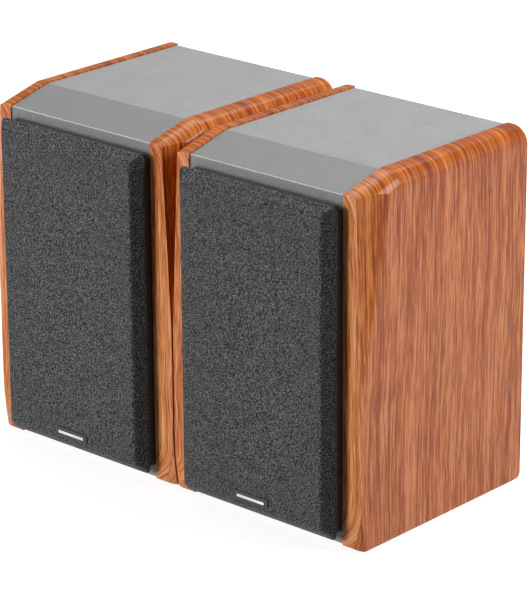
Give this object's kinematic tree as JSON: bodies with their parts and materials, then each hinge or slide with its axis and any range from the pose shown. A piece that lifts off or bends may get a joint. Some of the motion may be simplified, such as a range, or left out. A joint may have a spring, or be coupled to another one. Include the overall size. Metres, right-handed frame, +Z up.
{
  "type": "desktop speakers",
  "caption": "Pair of desktop speakers with glossy cherry-wood side cheeks, grey sloped-top cabinets, bevelled charcoal cloth grilles and rear controls on the powered one.",
  "frame": {"origin": "centre of the pair on the table, in the middle of the box round both speakers with their grilles and knobs", "axes": "+Z up, -Y towards the listener (the grilles face -Y), +X to the right as seen from the front"},
  "size_m": [0.3216, 0.191, 0.243],
  "materials": {
    "cherry_veneer": "glossy cherry veneer, fine vertical grain",
    "grey_vinyl": "grey leather-grain vinyl wrapped on board",
    "baffle_board": "grey vinyl wrapped board",
    "charcoal_cloth": "charcoal woven grille cloth",
    "black_plastic": "fine-grained black moulding",
    "gloss_black": "polished black moulding",
    "foot_rubber": "black rubber",
    "badge_metal": "satin silver plate on black",
    "basket_steel": "black powder coat on pressed steel",
    "magnet": "ferrite ring with plated steel plates",
    "cone_paper": "black pressed paper",
    "surround_rubber": "soft black rubber",
    "spider_cloth": "resin-dipped amber cloth",
    "coil_former": "aluminium former with copper wire",
    "dome_silk": "coated black silk",
    "screw_steel": "black zinc",
    "amp_panel": "satin black painted steel",
    "red_plastic": "red moulding",
    "board_green": "green circuit board with parts",
    "transformer_core": "laminated steel core with taped winding"
  },
  "bodies": {
    "right_grille": {"right_grille_frame": "black_plastic", "right_grille_cloth": "charcoal_cloth", "right_grille_badge": "badge_metal"},
    "right_woofer_moving": {"right_woofer_cone": "cone_paper", "right_woofer_coil": "coil_former", "right_woofer_dust_cap": "cone_paper"},
    "right_tweeter_moving": {"right_tweeter_dome": "dome_silk"},
    "left_grille": {"left_grille_frame": "black_plastic", "left_grille_cloth": "charcoal_cloth", "left_grille_badge": "badge_metal"},
    "left_woofer_moving": {"left_woofer_cone": "cone_paper", "left_woofer_coil": "coil_former", "left_woofer_dust_cap": "cone_paper"},
    "left_tweeter_moving": {"left_tweeter_dome": "dome_silk"},
    "right_volume_knob": {"right_volume_knob": "black_plastic"},
    "right_treble_knob": {"right_treble_knob": "black_plastic"},
    "right_bass_knob": {"right_bass_knob": "black_plastic"},
    "right_power_rocker": {"right_power_rocker": "gloss_black"},
    "right_output_lever_red": {"right_output_lever_red": "red_plastic"},
    "right_output_lever_black": {"right_output_lever_black": "gloss_black"},
    "left_lever_red": {"left_lever_red": "red_plastic"},
    "left_lever_black": {"left_lever_black": "gloss_black"},
    "right_speaker": {"right_cabinet": "grey_vinyl", "right_cheek_outer": "cherry_veneer", "right_cheek_inner": "cherry_veneer", "right_baffle": "baffle_board", "right_rear_panel": "baffle_board", "right_feet": "foot_rubber", "right_grille_cups": "foot_rubber", "right_woofer_basket": "basket_steel", "right_woofer_motor": "magnet", "right_woofer_surround": "surround_rubber", "right_woofer_spider": "spider_cloth", "right_tweeter_plate": "black_plastic", "right_tweeter_motor": "magnet", "right_screws": "screw_steel", "right_port_tube": "black_plastic", "right_amp_plate": "amp_panel", "right_phono_sockets": "black_plastic", "right_output_clips": "black_plastic", "right_mains_inlet": "black_plastic", "right_amp_board": "board_green", "right_transformer": "transformer_core"},
    "left_speaker": {"left_cabinet": "grey_vinyl", "left_cheek_outer": "cherry_veneer", "left_cheek_inner": "cherry_veneer", "left_baffle": "baffle_board", "left_rear_panel": "baffle_board", "left_feet": "foot_rubber", "left_grille_cups": "foot_rubber", "left_woofer_basket": "basket_steel", "left_woofer_motor": "magnet", "left_woofer_surround": "surround_rubber", "left_woofer_spider": "spider_cloth", "left_tweeter_plate": "black_plastic", "left_tweeter_motor": "magnet", "left_screws": "screw_steel", "left_port_tube": "black_plastic", "left_terminal_cup": "black_plastic", "left_crossover": "board_green"}
  },
  "joints": [
    {"name": "left_speaker_spacing", "type": "slide", "parent": "right_speaker", "child": "left_speaker", "axis": [-1, 0, 0], "range_m": [0, 0.6]},
    {"name": "right_grille_pull_off", "type": "slide", "parent": "right_speaker", "child": "right_grille", "axis": [0, -1, 0], "range_m": [0, 0.06]},
    {"name": "right_woofer_excursion", "type": "slide", "parent": "right_speaker", "child": "right_woofer_moving", "axis": [0, -1, 0], "range_m": [-0.0025, 0.0025], "stiffness_N_per_m": 1200, "deforming": ["right_woofer_surround", "right_woofer_spider"]},
    {"name": "right_tweeter_excursion", "type": "slide", "parent": "right_speaker", "child": "right_tweeter_moving", "axis": [0, -1, 0], "range_m": [-0.0002, 0.0002], "stiffness_N_per_m": 1500},
    {"name": "left_grille_pull_off", "type": "slide", "parent": "left_speaker", "child": "left_grille", "axis": [0, -1, 0], "range_m": [0, 0.06]},
    {"name": "left_woofer_excursion", "type": "slide", "parent": "left_speaker", "child": "left_woofer_moving", "axis": [0, -1, 0], "range_m": [-0.0025, 0.0025], "stiffness_N_per_m": 1200, "deforming": ["left_woofer_surround", "left_woofer_spider"]},
    {"name": "left_tweeter_excursion", "type": "slide", "parent": "left_speaker", "child": "left_tweeter_moving", "axis": [0, -1, 0], "range_m": [-0.0002, 0.0002], "stiffness_N_per_m": 1500},
    {"name": "volume_knob_turn", "type": "hinge", "parent": "right_speaker", "child": "right_volume_knob", "pos_m": [0.05275, 0.0835, 0.156], "axis": [0, 1, 0], "range_deg": [-150, 150]},
    {"name": "treble_knob_turn", "type": "hinge", "parent": "right_speaker", "child": "right_treble_knob", "pos_m": [0.08075, 0.0835, 0.156], "axis": [0, 1, 0], "range_deg": [-150, 150]},
    {"name": "bass_knob_turn", "type": "hinge", "parent": "right_speaker", "child": "right_bass_knob", "pos_m": [0.10875, 0.0835, 0.156], "axis": [0, 1, 0], "range_deg": [-150, 150]},
    {"name": "power_rocker_press", "type": "hinge", "parent": "right_speaker", "child": "right_power_rocker", "pos_m": [0.05675, 0.0774, 0.054], "axis": [1, 0, 0], "range_deg": [0, 12]},
    {"name": "right_output_lever_red_press", "type": "hinge", "parent": "right_speaker", "child": "right_output_lever_red", "pos_m": [0.10975, 0.0829, 0.12], "axis": [1, 0, 0], "range_deg": [0, 20], "stiffness_Nm_per_rad": 0.05},
    {"name": "right_output_lever_black_press", "type": "hinge", "parent": "right_speaker", "child": "right_output_lever_black", "pos_m": [0.09175, 0.0829, 0.12], "axis": [1, 0, 0], "range_deg": [0, 20], "stiffness_Nm_per_rad": 0.05},
    {"name": "left_lever_red_press", "type": "hinge", "parent": "left_speaker", "child": "left_lever_red", "pos_m": [-0.07175, 0.0809, 0.058], "axis": [1, 0, 0], "range_deg": [0, 20], "stiffness_Nm_per_rad": 0.05},
    {"name": "left_lever_black_press", "type": "hinge", "parent": "left_speaker", "child": "left_lever_black", "pos_m": [-0.08975, 0.0809, 0.058], "axis": [1, 0, 0], "range_deg": [0, 20], "stiffness_Nm_per_rad": 0.05}
  ]
}
